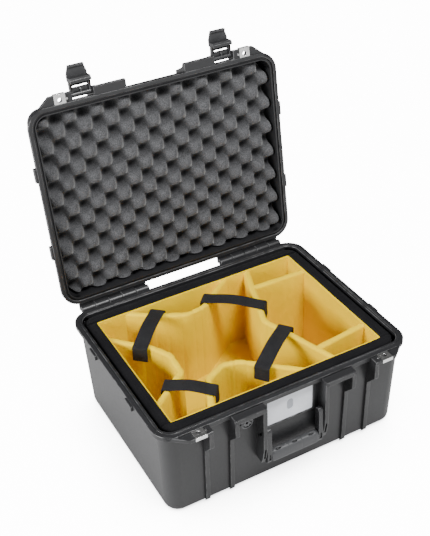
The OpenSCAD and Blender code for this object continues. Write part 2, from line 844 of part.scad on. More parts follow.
module latch_lever_right() { latch_lever(1); }

base_shell();
liner_floor();
liner_front();
liner_back();
liner_left();
liner_right();
divider_left();
divider_front();
divider_back();
divider_right();
divider_battery();
divider_controller();
strap_back_left();
strap_back_right();
strap_front_right();
strap_front_left();
base_lock_plates();
base_lock_screws();
id_card();
card_window();
valve_body();
valve_seal();
valve_nut();
hinge_pin_left();
hinge_pin_right();
handle_pin_left();
handle_pin_right();
handle_frame();
handle_grip();
lid_shell();
lid_seal();
lid_foam();
lid_lock_plates();
lid_lock_screws();
latch_pin_left();
latch_pin_right();
latch_frame_left();
latch_frame_right();
lever_pin_left();
lever_pin_right();
lever_spring_left();
lever_spring_right();
latch_lever_left();
latch_lever_right();
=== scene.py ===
"""Finished look of a hard, padded carrying case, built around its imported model.

The case stands open: lid back on its stop, latches swung out, handle hanging. Each sub-assembly is a
class that holds its sizes in metres, builds its meshes and dresses them. Hard parts are softened copies
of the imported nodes, and soft parts are built anew in the space that their plain solids hold.
"""

import json
import logging
import math
from dataclasses import dataclass, field
from enum import Enum

import bmesh
import bpy
from mathutils import Matrix, Vector, noise

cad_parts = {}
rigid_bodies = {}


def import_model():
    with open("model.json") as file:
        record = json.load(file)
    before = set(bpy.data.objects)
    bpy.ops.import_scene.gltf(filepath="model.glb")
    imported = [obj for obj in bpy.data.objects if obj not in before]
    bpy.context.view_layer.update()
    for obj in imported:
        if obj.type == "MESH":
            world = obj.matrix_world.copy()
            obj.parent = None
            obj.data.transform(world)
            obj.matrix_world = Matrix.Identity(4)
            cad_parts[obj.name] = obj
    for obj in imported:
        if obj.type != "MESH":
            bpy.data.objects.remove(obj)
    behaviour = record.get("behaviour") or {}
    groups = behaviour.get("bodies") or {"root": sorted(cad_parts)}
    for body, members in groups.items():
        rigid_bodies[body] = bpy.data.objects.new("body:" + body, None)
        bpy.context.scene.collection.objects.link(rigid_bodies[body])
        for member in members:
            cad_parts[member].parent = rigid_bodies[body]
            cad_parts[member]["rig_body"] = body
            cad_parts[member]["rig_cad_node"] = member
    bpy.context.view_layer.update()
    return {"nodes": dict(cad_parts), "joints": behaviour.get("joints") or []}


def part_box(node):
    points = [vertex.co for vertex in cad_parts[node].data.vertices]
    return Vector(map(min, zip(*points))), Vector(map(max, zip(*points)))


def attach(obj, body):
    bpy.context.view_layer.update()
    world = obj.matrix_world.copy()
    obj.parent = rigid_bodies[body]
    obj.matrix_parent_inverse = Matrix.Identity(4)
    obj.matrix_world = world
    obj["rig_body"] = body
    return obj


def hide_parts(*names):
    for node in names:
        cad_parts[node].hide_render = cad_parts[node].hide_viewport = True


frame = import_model()
MM = 0.001

log = logging.getLogger("carrying_case")

Socket = bpy.types.NodeSocket
Point2 = tuple[float, float]


# ------------------------------------------------------------------ shader groups
class GroupMaker:
    """Builds one shader node group with named inputs and outputs."""

    def __init__(self, name: str) -> None:
        """Start an empty group.

        Args:
            name: the group's name.
        """
        self.tree = bpy.data.node_groups.new(name, "ShaderNodeTree")
        self.inside = self.tree.nodes.new("NodeGroupInput")
        self.outside = self.tree.nodes.new("NodeGroupOutput")

    def takes(self, name: str, default: float, kind: str = "NodeSocketFloat") -> None:
        """Add an input socket.

        Args:
            name: the socket's name.
            default: its value where nothing is linked.
            kind: the socket's type.
        """
        socket = self.tree.interface.new_socket(name, in_out="INPUT", socket_type=kind)
        socket.default_value = default

    def gives(self, name: str, source: Socket, kind: str = "NodeSocketFloat") -> None:
        """Add an output socket and link a source to it.

        Args:
            name: the socket's name.
            source: what feeds it.
            kind: the socket's type.
        """
        self.tree.interface.new_socket(name, in_out="OUTPUT", socket_type=kind)
        self.tree.links.new(source, self.outside.inputs[name])

    def node(self, kind: str, **settings: object) -> bpy.types.Node:
        """Add a node and set its properties.

        Args:
            kind: the node's type.
            **settings: property values by name.

        Returns:
            The new node.
        """
        made = self.tree.nodes.new(kind)
        for key, value in settings.items():
            setattr(made, key, value)
        return made

    def link(self, source: Socket, target: Socket) -> None:
        """Join two sockets."""
        self.tree.links.new(source, target)

    def maths(self, operation: str, a: Socket | float, b: Socket | float = 0.0) -> Socket:
        """Add a Math node.

        Args:
            operation: the node's operation.
            a: first value or socket.
            b: second value or socket.

        Returns:
            The result's socket.
        """
        made = self.node("ShaderNodeMath", operation=operation)
        for index, value in enumerate((a, b)):
            if isinstance(value, (int, float)):
                made.inputs[index].default_value = value
            else:
                self.link(value, made.inputs[index])
        return made.outputs[0]

    def position(self) -> Socket:
        """Give the point on the surface in the object's own space, in metres."""
        return self.node("ShaderNodeTexCoord").outputs["Object"]

    def noise(self, scale: Socket | float, detail: float = 2.0, at: Socket | None = None) -> Socket:
        """Add a noise texture.

        Args:
            scale: its scale, per metre.
            detail: octaves.
            at: the coordinates, or None for the object's own.

        Returns:
            The noise value's socket.
        """
        made = self.node("ShaderNodeTexNoise")
        made.inputs["Detail"].default_value = detail
        self.link(at or self.position(), made.inputs["Vector"])
        if isinstance(scale, (int, float)):
            made.inputs["Scale"].default_value = scale
        else:
            self.link(scale, made.inputs["Scale"])
        return made.outputs[0]

    def ramp(self, value: Socket, low: float, high: float) -> Socket:
        """Stretch the span from low to high to 0 to 1, smoothly.

        Args:
            value: what is stretched.
            low: the value that gives 0.
            high: the value that gives 1.

        Returns:
            The stretched value's socket.
        """
        made = self.node("ShaderNodeMapRange", interpolation_type="SMOOTHSTEP")
        made.inputs["From Min"].default_value = low
        made.inputs["From Max"].default_value = high
        self.link(value, made.inputs["Value"])
        return made.outputs[0]


class ShaderKit:
    """The shader effects that more than one finish uses, each built once."""

    def __init__(self) -> None:
        """Build every group."""
        self.grain = self._grain()
        self.wear_and_highlight = self._wear_and_highlight()
        self.mottle = self._mottle()
        self.weave = self._weave()
        self.scratches = self._scratches()

    @staticmethod
    def _grain() -> bpy.types.NodeTree:
        """Fine pebbled grain of a moulded surface: a height, and a mask of its hollows."""
        g = GroupMaker("moulded_grain")
        g.takes("Scale", 900.0)
        fine = g.noise(g.inside.outputs["Scale"], 3.0)
        cells = g.node("ShaderNodeTexVoronoi", feature="SMOOTH_F1")
        g.link(g.position(), cells.inputs["Vector"])
        g.link(g.inside.outputs["Scale"], cells.inputs["Scale"])
        height = g.maths("MULTIPLY_ADD", cells.outputs["Distance"], 0.6)
        g.link(fine, height.node.inputs[2])
        g.gives("Height", height)
        g.gives("Hollows", g.ramp(height, 0.55, 0.95))
        return g.tree

    @staticmethod
    def _wear_and_highlight() -> bpy.types.NodeTree:
        """Mask of the rounded edges, in patches, where they turn paler: partly rubbed wear, partly a painted edge
        highlight.
        """
        g = GroupMaker("edge_wear_and_highlight")
        g.takes("Patchiness", 60.0)
        edges = g.node("ShaderNodeAttribute", attribute_name="rounded_edge").outputs["Fac"]
        patches = g.ramp(g.noise(g.inside.outputs["Patchiness"], 4.0), 0.38, 0.62)
        g.gives("Mask", g.maths("MULTIPLY", edges, patches))
        return g.tree

    @staticmethod
    def _mottle() -> bpy.types.NodeTree:
        """Slow change of tone over a surface, from 0 to 1."""
        g = GroupMaker("slow_mottle")
        g.takes("Scale", 12.0)
        g.gives("Mask", g.ramp(g.noise(g.inside.outputs["Scale"], 5.0), 0.3, 0.7))
        return g.tree

    @staticmethod
    def _weave() -> bpy.types.NodeTree:
        """Fine crossed threads: a height, and a mask of the gaps between them."""
        g = GroupMaker("thread_weave")
        g.takes("Threads", 900.0)
        g.takes("Along", (0.0, 0.0, 0.0), "NodeSocketVector")
        split = g.node("ShaderNodeSeparateXYZ")
        g.link(g.inside.outputs["Along"], split.inputs[0])
        turns = g.maths("MULTIPLY", g.inside.outputs["Threads"], math.tau)
        waves = [
            g.maths("SINE", g.maths("MULTIPLY", split.outputs[i], turns)) for i in range(2)
        ]
        crossed = g.maths("MULTIPLY", waves[0], waves[1])
        fuzz = g.maths("MULTIPLY", g.noise(2600.0, 3.0), 0.7)
        height = g.maths("ADD", crossed, fuzz)
        g.gives("Height", height)
        g.gives("Gaps", g.ramp(height, 0.5, -0.4))
        return g.tree

    @staticmethod
    def _scratches() -> bpy.types.NodeTree:
        """Fine straight marks of brushed or handled metal."""
        g = GroupMaker("fine_scratches")
        g.takes("Scale", 400.0)
        stretch = g.node("ShaderNodeMapping")
        stretch.inputs["Scale"].default_value = (0.05, 1.0, 1.0)
        g.link(g.position(), stretch.inputs["Vector"])
        g.gives("Height", g.noise(g.inside.outputs["Scale"], 4.0, stretch.outputs[0]))
        return g.tree


KIT = ShaderKit()


# --------------------------------------------------------------------- finishes
class MaterialBuilder:
    """One material with its Principled shader, and short ways to feed it."""

    def __init__(self, name: str, color: tuple[float, float, float], roughness: float) -> None:
        """Make the material.

        Args:
            name: the material's name.
            color: plain base colour, linear.
            roughness: plain roughness.
        """
        self.material = bpy.data.materials.new(name)
        self.material.use_nodes = True
        self.tree = self.material.node_tree
        self.shader = self.tree.nodes["Principled BSDF"]
        self.shader.inputs["Base Color"].default_value = (*color, 1.0)
        self.shader.inputs["Roughness"].default_value = roughness

    def group(self, tree: bpy.types.NodeTree, **values: float) -> bpy.types.Node:
        """Args:
            tree: the group.
            **values: input values by name.

        Returns:
            The group's node.
        """
        made = self.tree.nodes.new("ShaderNodeGroup")
        made.node_tree = tree
        for key, value in values.items():
            made.inputs[key].default_value = value
        return made

    def mix(self, mask: Socket, low: Socket | tuple, high: Socket | tuple, share: float = 1.0) -> Socket:
        """Mix two colours by a mask.

        Args:
            mask: where the second colour shows.
            low: the first colour or its socket.
            high: the second colour or its socket.
            share: how much of the second colour shows at most.

        Returns:
            The mixed colour's socket.
        """
        weight = self.tree.nodes.new("ShaderNodeMath")
        weight.operation = "MULTIPLY"
        weight.inputs[1].default_value = share
        self.tree.links.new(mask, weight.inputs[0])
        made = self.tree.nodes.new("ShaderNodeMix")
        made.data_type = "RGBA"
        self.tree.links.new(weight.outputs[0], made.inputs[0])
        for socket, value in ((made.inputs[6], low), (made.inputs[7], high)):
            if isinstance(value, tuple):
                socket.default_value = (*value, 1.0)
            else:
                self.tree.links.new(value, socket)
        return made.outputs[2]

    def span(self, mask: Socket, low: float, high: float) -> Socket:
        """Turn a mask from 0 to 1 into a value from low to high.

        Args:
            mask: the mask.
            low: the value at 0.
            high: the value at 1.

        Returns:
            The value's socket.
        """
        made = self.tree.nodes.new("ShaderNodeMapRange")
        made.inputs["To Min"].default_value = low
        made.inputs["To Max"].default_value = high
        self.tree.links.new(mask, made.inputs["Value"])
        return made.outputs[0]

    def bump(self, height: Socket, distance: float, under: Socket | None = None, strength: float = 1.0) -> Socket:
        """Add a bump.

        Args:
            height: what raises the surface.
            distance: how far, in metres.
            under: a coarser bump that this one stands on.
            strength: the bump's strength.

        Returns:
            The normal's socket.
        """
        made = self.tree.nodes.new("ShaderNodeBump")
        made.inputs["Distance"].default_value = distance
        made.inputs["Strength"].default_value = strength
        self.tree.links.new(height, made.inputs["Height"])
        if under is not None:
            self.tree.links.new(under, made.inputs["Normal"])
        return made.outputs[0]

    def feed(self, **sockets: Socket) -> bpy.types.Material:
        """Link sockets to the shader's inputs, given as words joined by underscores.

        Args:
            **sockets: what feeds each input.

        Returns:
            The material.
        """
        for key, socket in sockets.items():
            self.tree.links.new(socket, self.shader.inputs[key.replace("_", " ")])
        return self.material


@dataclass(frozen=True)
class MouldedPlastic:
    """Injection-moulded plastic with a fine spark grain, paler on its rounded edges: partly rubbed wear, partly a
    painted edge highlight.
    """

    name: str
    color: tuple[float, float, float]
    roughness: float = 0.42
    grain: float = 1100.0
    depth: float = 0.00006
    wear_and_highlight_share: float = 0.6

    def material(self) -> bpy.types.Material:
        """Build the material."""
        m = MaterialBuilder(self.name, self.color, self.roughness)
        grain = m.group(KIT.grain, Scale=self.grain)
        wear_and_highlight = m.group(KIT.wear_and_highlight)
        tone = m.group(KIT.mottle, Scale=9.0)
        darker = tuple(0.86 * c for c in self.color)
        # Painted highlight and wear: the rounded edges are paled in patches, for rubbing and for the thin bright
        # lines that light draws along them.
        paler = tuple(min(1.0, 2.2 * c + 0.09) for c in self.color)
        color = m.mix(tone.outputs["Mask"], self.color, darker, 0.6)
        color = m.mix(grain.outputs["Hollows"], color, tuple(0.75 * c for c in self.color), 0.4)
        color = m.mix(wear_and_highlight.outputs["Mask"], color, paler, self.wear_and_highlight_share)
        rough = m.span(grain.outputs["Hollows"], self.roughness - 0.04, self.roughness + 0.10)
        m.shader.inputs["Specular IOR Level"].default_value = 0.5
        return m.feed(
            Base_Color=color, Roughness=rough, Normal=m.bump(grain.outputs["Height"], self.depth)
        )


@dataclass(frozen=True)
class MouldedRubber:
    """Soft overmoulded rubber or gasket, matt with a fine skin."""

    name: str
    color: tuple[float, float, float]
    roughness: float = 0.62

    def material(self) -> bpy.types.Material:
        """Build the material."""
        m = MaterialBuilder(self.name, self.color, self.roughness)
        grain = m.group(KIT.grain, Scale=1700.0)
        tone = m.group(KIT.mottle, Scale=40.0)
        paler = tuple(1.35 * c for c in self.color)
        color = m.mix(tone.outputs["Mask"], self.color, paler, 0.4)
        rough = m.span(tone.outputs["Mask"], self.roughness - 0.08, self.roughness + 0.08)
        return m.feed(
            Base_Color=color, Roughness=rough, Normal=m.bump(grain.outputs["Height"], 0.00005)
        )


@dataclass(frozen=True)
class SheetMetal:
    """Pressed or drawn metal with fine marks."""

    name: str
    color: tuple[float, float, float]
    roughness: float = 0.28

    def material(self) -> bpy.types.Material:
        """Build the material."""
        m = MaterialBuilder(self.name, self.color, self.roughness)
        marks = m.group(KIT.scratches, Scale=700.0)
        tone = m.group(KIT.mottle, Scale=90.0)
        m.shader.inputs["Metallic"].default_value = 1.0
        dull = tuple(0.72 * c for c in self.color)
        color = m.mix(tone.outputs["Mask"], self.color, dull, 0.5)
        rough = m.span(marks.outputs["Height"], self.roughness - 0.1, self.roughness + 0.16)
        return m.feed(
            Base_Color=color, Roughness=rough, Normal=m.bump(marks.outputs["Height"], 0.00003)
        )


@dataclass(frozen=True)
class LoopFabric:
    """Brushed loop-faced fabric that covers foam pads."""

    name: str
    color: tuple[float, float, float]
    shade: tuple[float, float, float]
    sheen: float = 0.35
    threads: float = 700.0
    creases: float = 0.0012

    def material(self) -> bpy.types.Material:
        """Build the material."""
        m = MaterialBuilder(self.name, self.color, 0.85)
        at = m.tree.nodes.new("ShaderNodeTexCoord").outputs["Object"]
        weave = m.group(KIT.weave, Threads=self.threads)
        m.tree.links.new(at, weave.inputs["Along"])
        tone = m.group(KIT.mottle, Scale=26.0)
        cloth = m.group(KIT.mottle, Scale=140.0)
        m.shader.inputs["Sheen Weight"].default_value = self.sheen
        m.shader.inputs["Sheen Roughness"].default_value = 0.45
        m.shader.inputs["Specular IOR Level"].default_value = 0.04
        color = m.mix(tone.outputs["Mask"], self.color, self.shade, 0.45)
        color = m.mix(weave.outputs["Gaps"], color, self.shade, 0.35)
        rough = m.span(cloth.outputs["Mask"], 0.78, 0.95)
        folds = m.bump(cloth.outputs["Mask"], self.creases * 0.25)
        normal = m.bump(weave.outputs["Height"], 0.00012, folds)
        return m.feed(Base_Color=color, Roughness=rough, Normal=normal)


@dataclass(frozen=True)
class Webbing:
    """Ribbed woven strap, with its ribs across the strap's own length."""

    name: str
    color: tuple[float, float, float]
    rib: float = 0.0011

    def material(self) -> bpy.types.Material:
        """Build the material."""
        m = MaterialBuilder(self.name, self.color, 0.7)
        along = m.tree.nodes.new("ShaderNodeAttribute")
        along.attribute_name = "strap_way"
        weave = m.group(KIT.weave, Threads=1 / self.rib)
        m.tree.links.new(along.outputs["Vector"], weave.inputs["Along"])
        tone = m.group(KIT.mottle, Scale=60.0)
        paler = tuple(1.8 * c + 0.003 for c in self.color)
        color = m.mix(weave.outputs["Gaps"], paler, self.color)
        color = m.mix(tone.outputs["Mask"], color, self.color, 0.5)
        m.shader.inputs["Specular IOR Level"].default_value = 0.2
        rough = m.span(weave.outputs["Gaps"], 0.55, 0.85)
        return m.feed(
            Base_Color=color, Roughness=rough, Normal=m.bump(weave.outputs["Height"], 0.00022)
        )


@dataclass(frozen=True)
class OpenCellFoam:
    """Grey open-cell foam: speckled with the walls of its cells, and darkened in its pits as painted shade."""

    name: str
    color: tuple[float, float, float]

    def material(self) -> bpy.types.Material:
        """Build the material."""
        m = MaterialBuilder(self.name, self.color, 0.95)
        cells = m.group(KIT.grain, Scale=620.0)
        coarse = m.group(KIT.grain, Scale=240.0)
        tone = m.group(KIT.mottle, Scale=30.0)
        m.shader.inputs["Specular IOR Level"].default_value = 0.2
        m.shader.inputs["Sheen Weight"].default_value = 0.25
        paler = tuple(1.8 * c for c in self.color)
        color = m.mix(cells.outputs["Hollows"], paler, tuple(0.55 * c for c in self.color), 0.9)
        color = m.mix(tone.outputs["Mask"], color, self.color, 0.35)
        # Painted shade: the deeper a point lies in the foam's pits, the darker its colour.
        pits = m.tree.nodes.new("ShaderNodeAttribute")
        pits.attribute_name = "pit_shade"
        color = m.mix(pits.outputs["Fac"], color, tuple(0.22 * c for c in self.color), 0.9)
        rough = m.span(cells.outputs["Hollows"], 0.9, 1.0)
        pores = m.bump(coarse.outputs["Height"], 0.0004)
        return m.feed(
            Base_Color=color, Roughness=rough, Normal=m.bump(cells.outputs["Height"], 0.0003, pores)
        )


@dataclass(frozen=True)
class FrostedSheet:
    """Frosted clear plastic or plain card, slightly cloudy."""

    name: str
    color: tuple[float, float, float]
    roughness: float = 0.3

    def material(self) -> bpy.types.Material:
        """Build the material."""
        m = MaterialBuilder(self.name, self.color, self.roughness)
        tone = m.group(KIT.mottle, Scale=45.0)
        grain = m.group(KIT.grain, Scale=2200.0)
        cloudy = tuple(0.85 * c for c in self.color)
        color = m.mix(tone.outputs["Mask"], self.color, cloudy, 0.6)
        rough = m.span(tone.outputs["Mask"], self.roughness - 0.06, self.roughness + 0.1)
        return m.feed(
            Base_Color=color, Roughness=rough, Normal=m.bump(grain.outputs["Height"], 0.00002)
        )


class Finish(Enum):
    """Every finish on the case, with the record's slot that it belongs to."""

    SHELL = ("shell_plastic", MouldedPlastic("shell_charcoal", (0.017, 0.0172, 0.0185), 0.36))
    LID = ("lid_plastic", MouldedPlastic("lid_charcoal", (0.016, 0.0162, 0.0175), 0.36))
    LATCH = ("latch_plastic", MouldedPlastic("latch_dark", (0.018, 0.0185, 0.020), 0.34))
    LEVER = ("lever_plastic", MouldedPlastic("lever_grey", (0.026, 0.0265, 0.028), 0.34))
    HANDLE = ("handle_plastic", MouldedPlastic("handle_black", (0.022, 0.022, 0.024), 0.26))
    GRIP = ("handle_rubber", MouldedRubber("grip_rubber", (0.050, 0.051, 0.054), 0.48))
    SEAL = ("seal_rubber", MouldedRubber("seal_black", (0.008, 0.008, 0.009), 0.5))
    PLATE = ("plate_steel", SheetMetal("plate_bright", (0.86, 0.86, 0.85), 0.24))
    PIN = ("pin_steel", SheetMetal("pin_dark", (0.020, 0.020, 0.021), 0.5))
    SPRING = ("spring_steel", SheetMetal("spring_black", (0.022, 0.022, 0.024), 0.45))
    SCREW = ("screw_steel", SheetMetal("screw_bright", (0.62, 0.62, 0.62), 0.3))
    VALVE = ("valve_plastic", MouldedPlastic("valve_grey", (0.10, 0.101, 0.106), 0.22))
    WINDOW = ("window_plastic", FrostedSheet("window_frosted", (0.86, 0.88, 0.93), 0.26))
    NOTCH = ("window_plastic", FrostedSheet("window_notch", (0.42, 0.44, 0.48), 0.3))
    CARD = ("card_paper", FrostedSheet("card_white", (0.80, 0.80, 0.80), 0.6))
    LINER = (
        "liner_fabric",
        LoopFabric("liner_black", (0.010, 0.010, 0.011), (0.004, 0.004, 0.005), 0.03),
    )
    DIVIDER = (
        "divider_fabric",
        LoopFabric("divider_yellow", (0.90, 0.63, 0.0), (0.86, 0.56, 0.0), 0.0),
    )
    STRAP = ("strap_webbing", Webbing("strap_black", (0.010, 0.010, 0.011)))
    FOAM = ("lid_foam_grey", OpenCellFoam("foam_grey", (0.050, 0.0505, 0.053)))

    @property
    def slot(self) -> str:
        """Give the record's slot."""
        return self.value[0]

    def material(self) -> bpy.types.Material:
        """Give the finish's material, built the first time it is asked for."""
        found = bpy.data.materials.get(self.value[1].name)
        return found or self.value[1].material()


# ------------------------------------------------------------------ mesh helpers
def dress(piece: bpy.types.Object, finish: Finish) -> bpy.types.Object:
    """Put one finish on a piece.

    Args:
        piece: the object.
        finish: its finish.

    Returns:
        The piece.
    """
    piece.data.materials.clear()
    piece.data.materials.append(finish.material())
    return piece


def smooth(mesh: bpy.types.Mesh, sharp_over: float = 40.0) -> None:
    """Shade a mesh smooth but for its sharp edges.

    Args:
        mesh: the mesh.
        sharp_over: edges with more degrees between their faces stay sharp.
    """
    for face in mesh.polygons:
        face.use_smooth = True
    mesh.set_sharp_from_angle(angle=math.radians(sharp_over))


def mesh_object(name: str, bm: bmesh.types.BMesh, sharp_over: float = 40.0) -> bpy.types.Object:
    """Turn a bmesh into an object in the scene.

    Args:
        name: the object's name.
        bm: the mesh, which is freed.
        sharp_over: edges with more degrees between their faces stay sharp.

    Returns:
        The new object.
    """
    bmesh.ops.recalc_face_normals(bm, faces=bm.faces)
    mesh = bpy.data.meshes.new(name)
    bm.to_mesh(mesh)
    bm.free()
    smooth(mesh, sharp_over)
    made = bpy.data.objects.new(name, mesh)
    bpy.context.scene.collection.objects.link(made)
    return made


def place(piece: bpy.types.Object, body: str, finish: Finish, *nodes: str) -> bpy.types.Object:
    """Dress a piece, let it ride on a body and stand for the nodes given.

    Args:
        piece: the object, in place.
        body: the body that it moves with.
        finish: its finish.
        *nodes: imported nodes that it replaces.

    Returns:
        The piece.
    """
    dress(piece, finish)
    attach(piece, body)
    if nodes:
        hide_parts(*nodes)
    log.info("%s rides on %s, %d faces", piece.name, body, len(piece.data.polygons))
    return piece


def has_room(edge: bmesh.types.BMEdge, radius: float) -> bool:
    """Tell whether an edge can be rounded without eating up a narrow face beside it.

    Args:
        edge: the edge.
        radius: width of the rounding.

    Returns:
        False if it runs along a face too narrow for the rounding.
    """
    for face in edge.link_faces:
        width = 2 * face.calc_area() / face.calc_perimeter()
        if width < 2.2 * radius and edge.calc_length() > 1.5 * width:
            return False
    return True


def softened(node: str, finish: Finish, radius: float = 0.0007, steps: int = 2) -> bpy.types.Object:
    """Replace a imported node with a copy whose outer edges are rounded.

    Args:
        node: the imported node.
        finish: the copy's finish.
        radius: width of the rounding, in metres.
        steps: faces across the rounding.

    Returns:
        The rounded copy.
    """
    source = frame["nodes"][node]
    bm = bmesh.new()
    bm.from_mesh(source.data)
    bmesh.ops.remove_doubles(bm, verts=bm.verts, dist=2e-6)
    for way in ((1, 0, 0), (0, 1, 0)):
        everything = bm.verts[:] + bm.edges[:] + bm.faces[:]
        cut = bmesh.ops.bisect_plane(bm, geom=everything, plane_co=(0, 0, 0), plane_no=way)
        for edge in (g for g in cut["geom_cut"] if isinstance(g, bmesh.types.BMEdge)):
            edge.seam = True
    bmesh.ops.dissolve_limit(
        bm, angle_limit=math.radians(0.5), verts=bm.verts, edges=bm.edges, delimit={"SEAM"}
    )
    corner = math.radians(35)
    edges = [
        e for e in bm.edges
        if e.is_manifold and e.calc_face_angle_signed() > corner and has_room(e, radius)
    ]
    rounded = bm.faces.layers.float.new("rounded_edge")
    strips = bmesh.ops.bevel(
        bm, geom=edges, offset=radius, offset_type="OFFSET", segments=steps,
        profile=0.5, affect="EDGES", clamp_overlap=False,
    )["faces"]
    for face in bm.faces:
        face[rounded] = 0.0
    for face in strips:
        face[rounded] = 1.0
    made = mesh_object(f"{node}_soft", bm)
    weighted = made.modifiers.new("even_normals", "WEIGHTED_NORMAL")
    weighted.keep_sharp = True
    return place(made, source["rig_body"], finish, node)


def bridge(bm: bmesh.types.BMesh, rings: list[list[Vector]], closed: bool = True) -> list[list]:
    """Skin a row of rings of points with quads.

    Args:
        bm: the mesh that takes the faces.
        rings: rings with the same number of points each.
        closed: whether each ring's last point joins its first.

    Returns:
        The rings' vertices.
    """
    rows = [[bm.verts.new(p) for p in ring] for ring in rings]
    count = len(rows[0])
    for a, b in zip(rows, rows[1:]):
        for i in range(count if closed else count - 1):
            j = (i + 1) % count
            bm.faces.new((a[i], a[j], b[j], b[i]))
    return rows


def outline_normals(points: list[Vector]) -> list[Vector]:
    """Give the mitred outward vectors of a closed plan outline that runs anticlockwise.

    Args:
        points: the outline.

    Returns:
        One vector a point; a step of 1 along it moves both its edges by 1.
    """
    made = []
    for i, p in enumerate(points):
        a = (p - points[i - 1]).normalized()
        b = (points[(i + 1) % len(points)] - p).normalized()
        out = Vector((a.y + b.y, -a.x - b.x))
        made.append(out * (2 / max(out.length_squared, 0.5)))
    return made


def resampled(points: list[Vector], step: float, closed: bool = True) -> list[Vector]:
    """Add points along an outline so that no edge is longer than a step.

    Args:
        points: the outline.
        step: the longest edge.
        closed: whether the last point joins the first.

    Returns:
        The finer outline.
    """
    made: list[Vector] = []
    pairs = list(zip(points, points[1:] + points[:1])) if closed else list(zip(points, points[1:]))
    for a, b in pairs:
        parts = max(1, math.ceil((b - a).length / step))
        made += [a.lerp(b, k / parts) for k in range(parts)]
    return made if closed else made + [points[-1]]


# ------------------------------------------------------------------------ studio
@dataclass
class AreaLamp:
    """One soft lamp."""

    name: str
    place: tuple[float, float, float]
    aim: tuple[float, float, float]
    watts: float
    size: float

    def build(self) -> None:
        """Hang the lamp and turn it to its aim."""
        data = bpy.data.lights.new(self.name, "AREA")
        data.energy = self.watts
        data.size = self.size
        lamp = bpy.data.objects.new(self.name, data)
        lamp.location = self.place
        way = Vector(self.aim) - Vector(self.place)
        lamp.rotation_euler = way.to_track_quat("-Z", "Y").to_euler()
        bpy.context.scene.collection.objects.link(lamp)


@dataclass
class Studio:
    """White studio: camera, soft lamps, pale floor with a painted contact shadow round the case, and even
    surrounding light.
    """

    stands_at: tuple[float, float, float] = (-0.6536, -1.1935, 1.2719)
    looks: tuple[float, float, float] = (0.3766, 0.7283, -0.5725)
    across: tuple[float, float, float] = (0.8753, -0.4821, -0.0375)
    lens: float = 65.11
    surround: float = 0.10
    backdrop: float = 14.0
    floor_bounce: float = 1.15
    lamps: list[AreaLamp] = field(
        default_factory=lambda: [
            AreaLamp("left_softbox", (-1.9, -0.1, 0.95), (0.0, 0.1, 0.3), 62.0, 0.7),
            AreaLamp("top_softbox", (0.30, -0.75, 1.9), (0.0, 0.0, 0.1), 52.0, 0.5),
            AreaLamp("front_fill", (0.9, -2.4, 1.0), (0.0, 0.0, 0.15), 10.0, 1.2),
        ]
    )

    def build(self) -> None:
        """Build the whole studio."""
        self._camera()
        self._world()
        self._floor()
        for lamp in self.lamps:
            lamp.build()

    def _camera(self) -> None:
        forward = Vector(self.looks).normalized()
        right = Vector(self.across)
        right = (right - forward * right.dot(forward)).normalized()
        up = right.cross(forward)
        data = bpy.data.cameras.new("studio_camera")
        data.lens = self.lens
        camera = bpy.data.objects.new("studio_camera", data)
        camera.location = self.stands_at
        camera.rotation_euler = Matrix((right, up, -forward)).transposed().to_euler()
        bpy.context.scene.collection.objects.link(camera)
        bpy.context.scene.camera = camera

    def _world(self) -> None:
        world = bpy.data.worlds.new("studio_light")
        world.use_nodes = True
        tree = world.node_tree
        back = tree.nodes["Background"]
        back.inputs["Color"].default_value = (1.0, 1.0, 1.0, 1.0)
        tree.links.new(self._seen_or_felt(tree, self.surround), back.inputs["Strength"])
        bpy.context.scene.world = world

    def _seen_or_felt(self, tree: bpy.types.NodeTree, felt: float) -> Socket:
        """Give one strength to what the camera sees and another to what lights the case."""
        rays = tree.nodes.new("ShaderNodeLightPath")
        made = tree.nodes.new("ShaderNodeMapRange")
        made.inputs["To Min"].default_value = felt
        made.inputs["To Max"].default_value = self.backdrop
        tree.links.new(rays.outputs["Is Camera Ray"], made.inputs["Value"])
        return made.outputs[0]

    def _floor(self) -> None:
        bm = bmesh.new()
        bmesh.ops.create_grid(bm, x_segments=1, y_segments=1, size=6.0)
        floor = mesh_object("studio_floor", bm)
        m = MaterialBuilder("floor_white", (0.2, 0.2, 0.2), 0.6)
        # Painted shadow: the floor's glow dims near the case by ambient occlusion, standing in for a soft contact
        # shadow.
        contact_ao = m.tree.nodes.new("ShaderNodeAmbientOcclusion")
        contact_ao.inputs["Distance"].default_value = 0.16
        shade = m.span(contact_ao.outputs["AO"], 0.0, 1.0)
        shade.node.interpolation_type = "SMOOTHERSTEP"
        glow_with_painted_shadow = m.mix(shade, (0.16, 0.16, 0.165), (1.0, 1.0, 1.0))
        strength = self._seen_or_felt(m.tree, self.floor_bounce)
        floor.data.materials.append(m.feed(Emission_Color=glow_with_painted_shadow, Emission_Strength=strength))


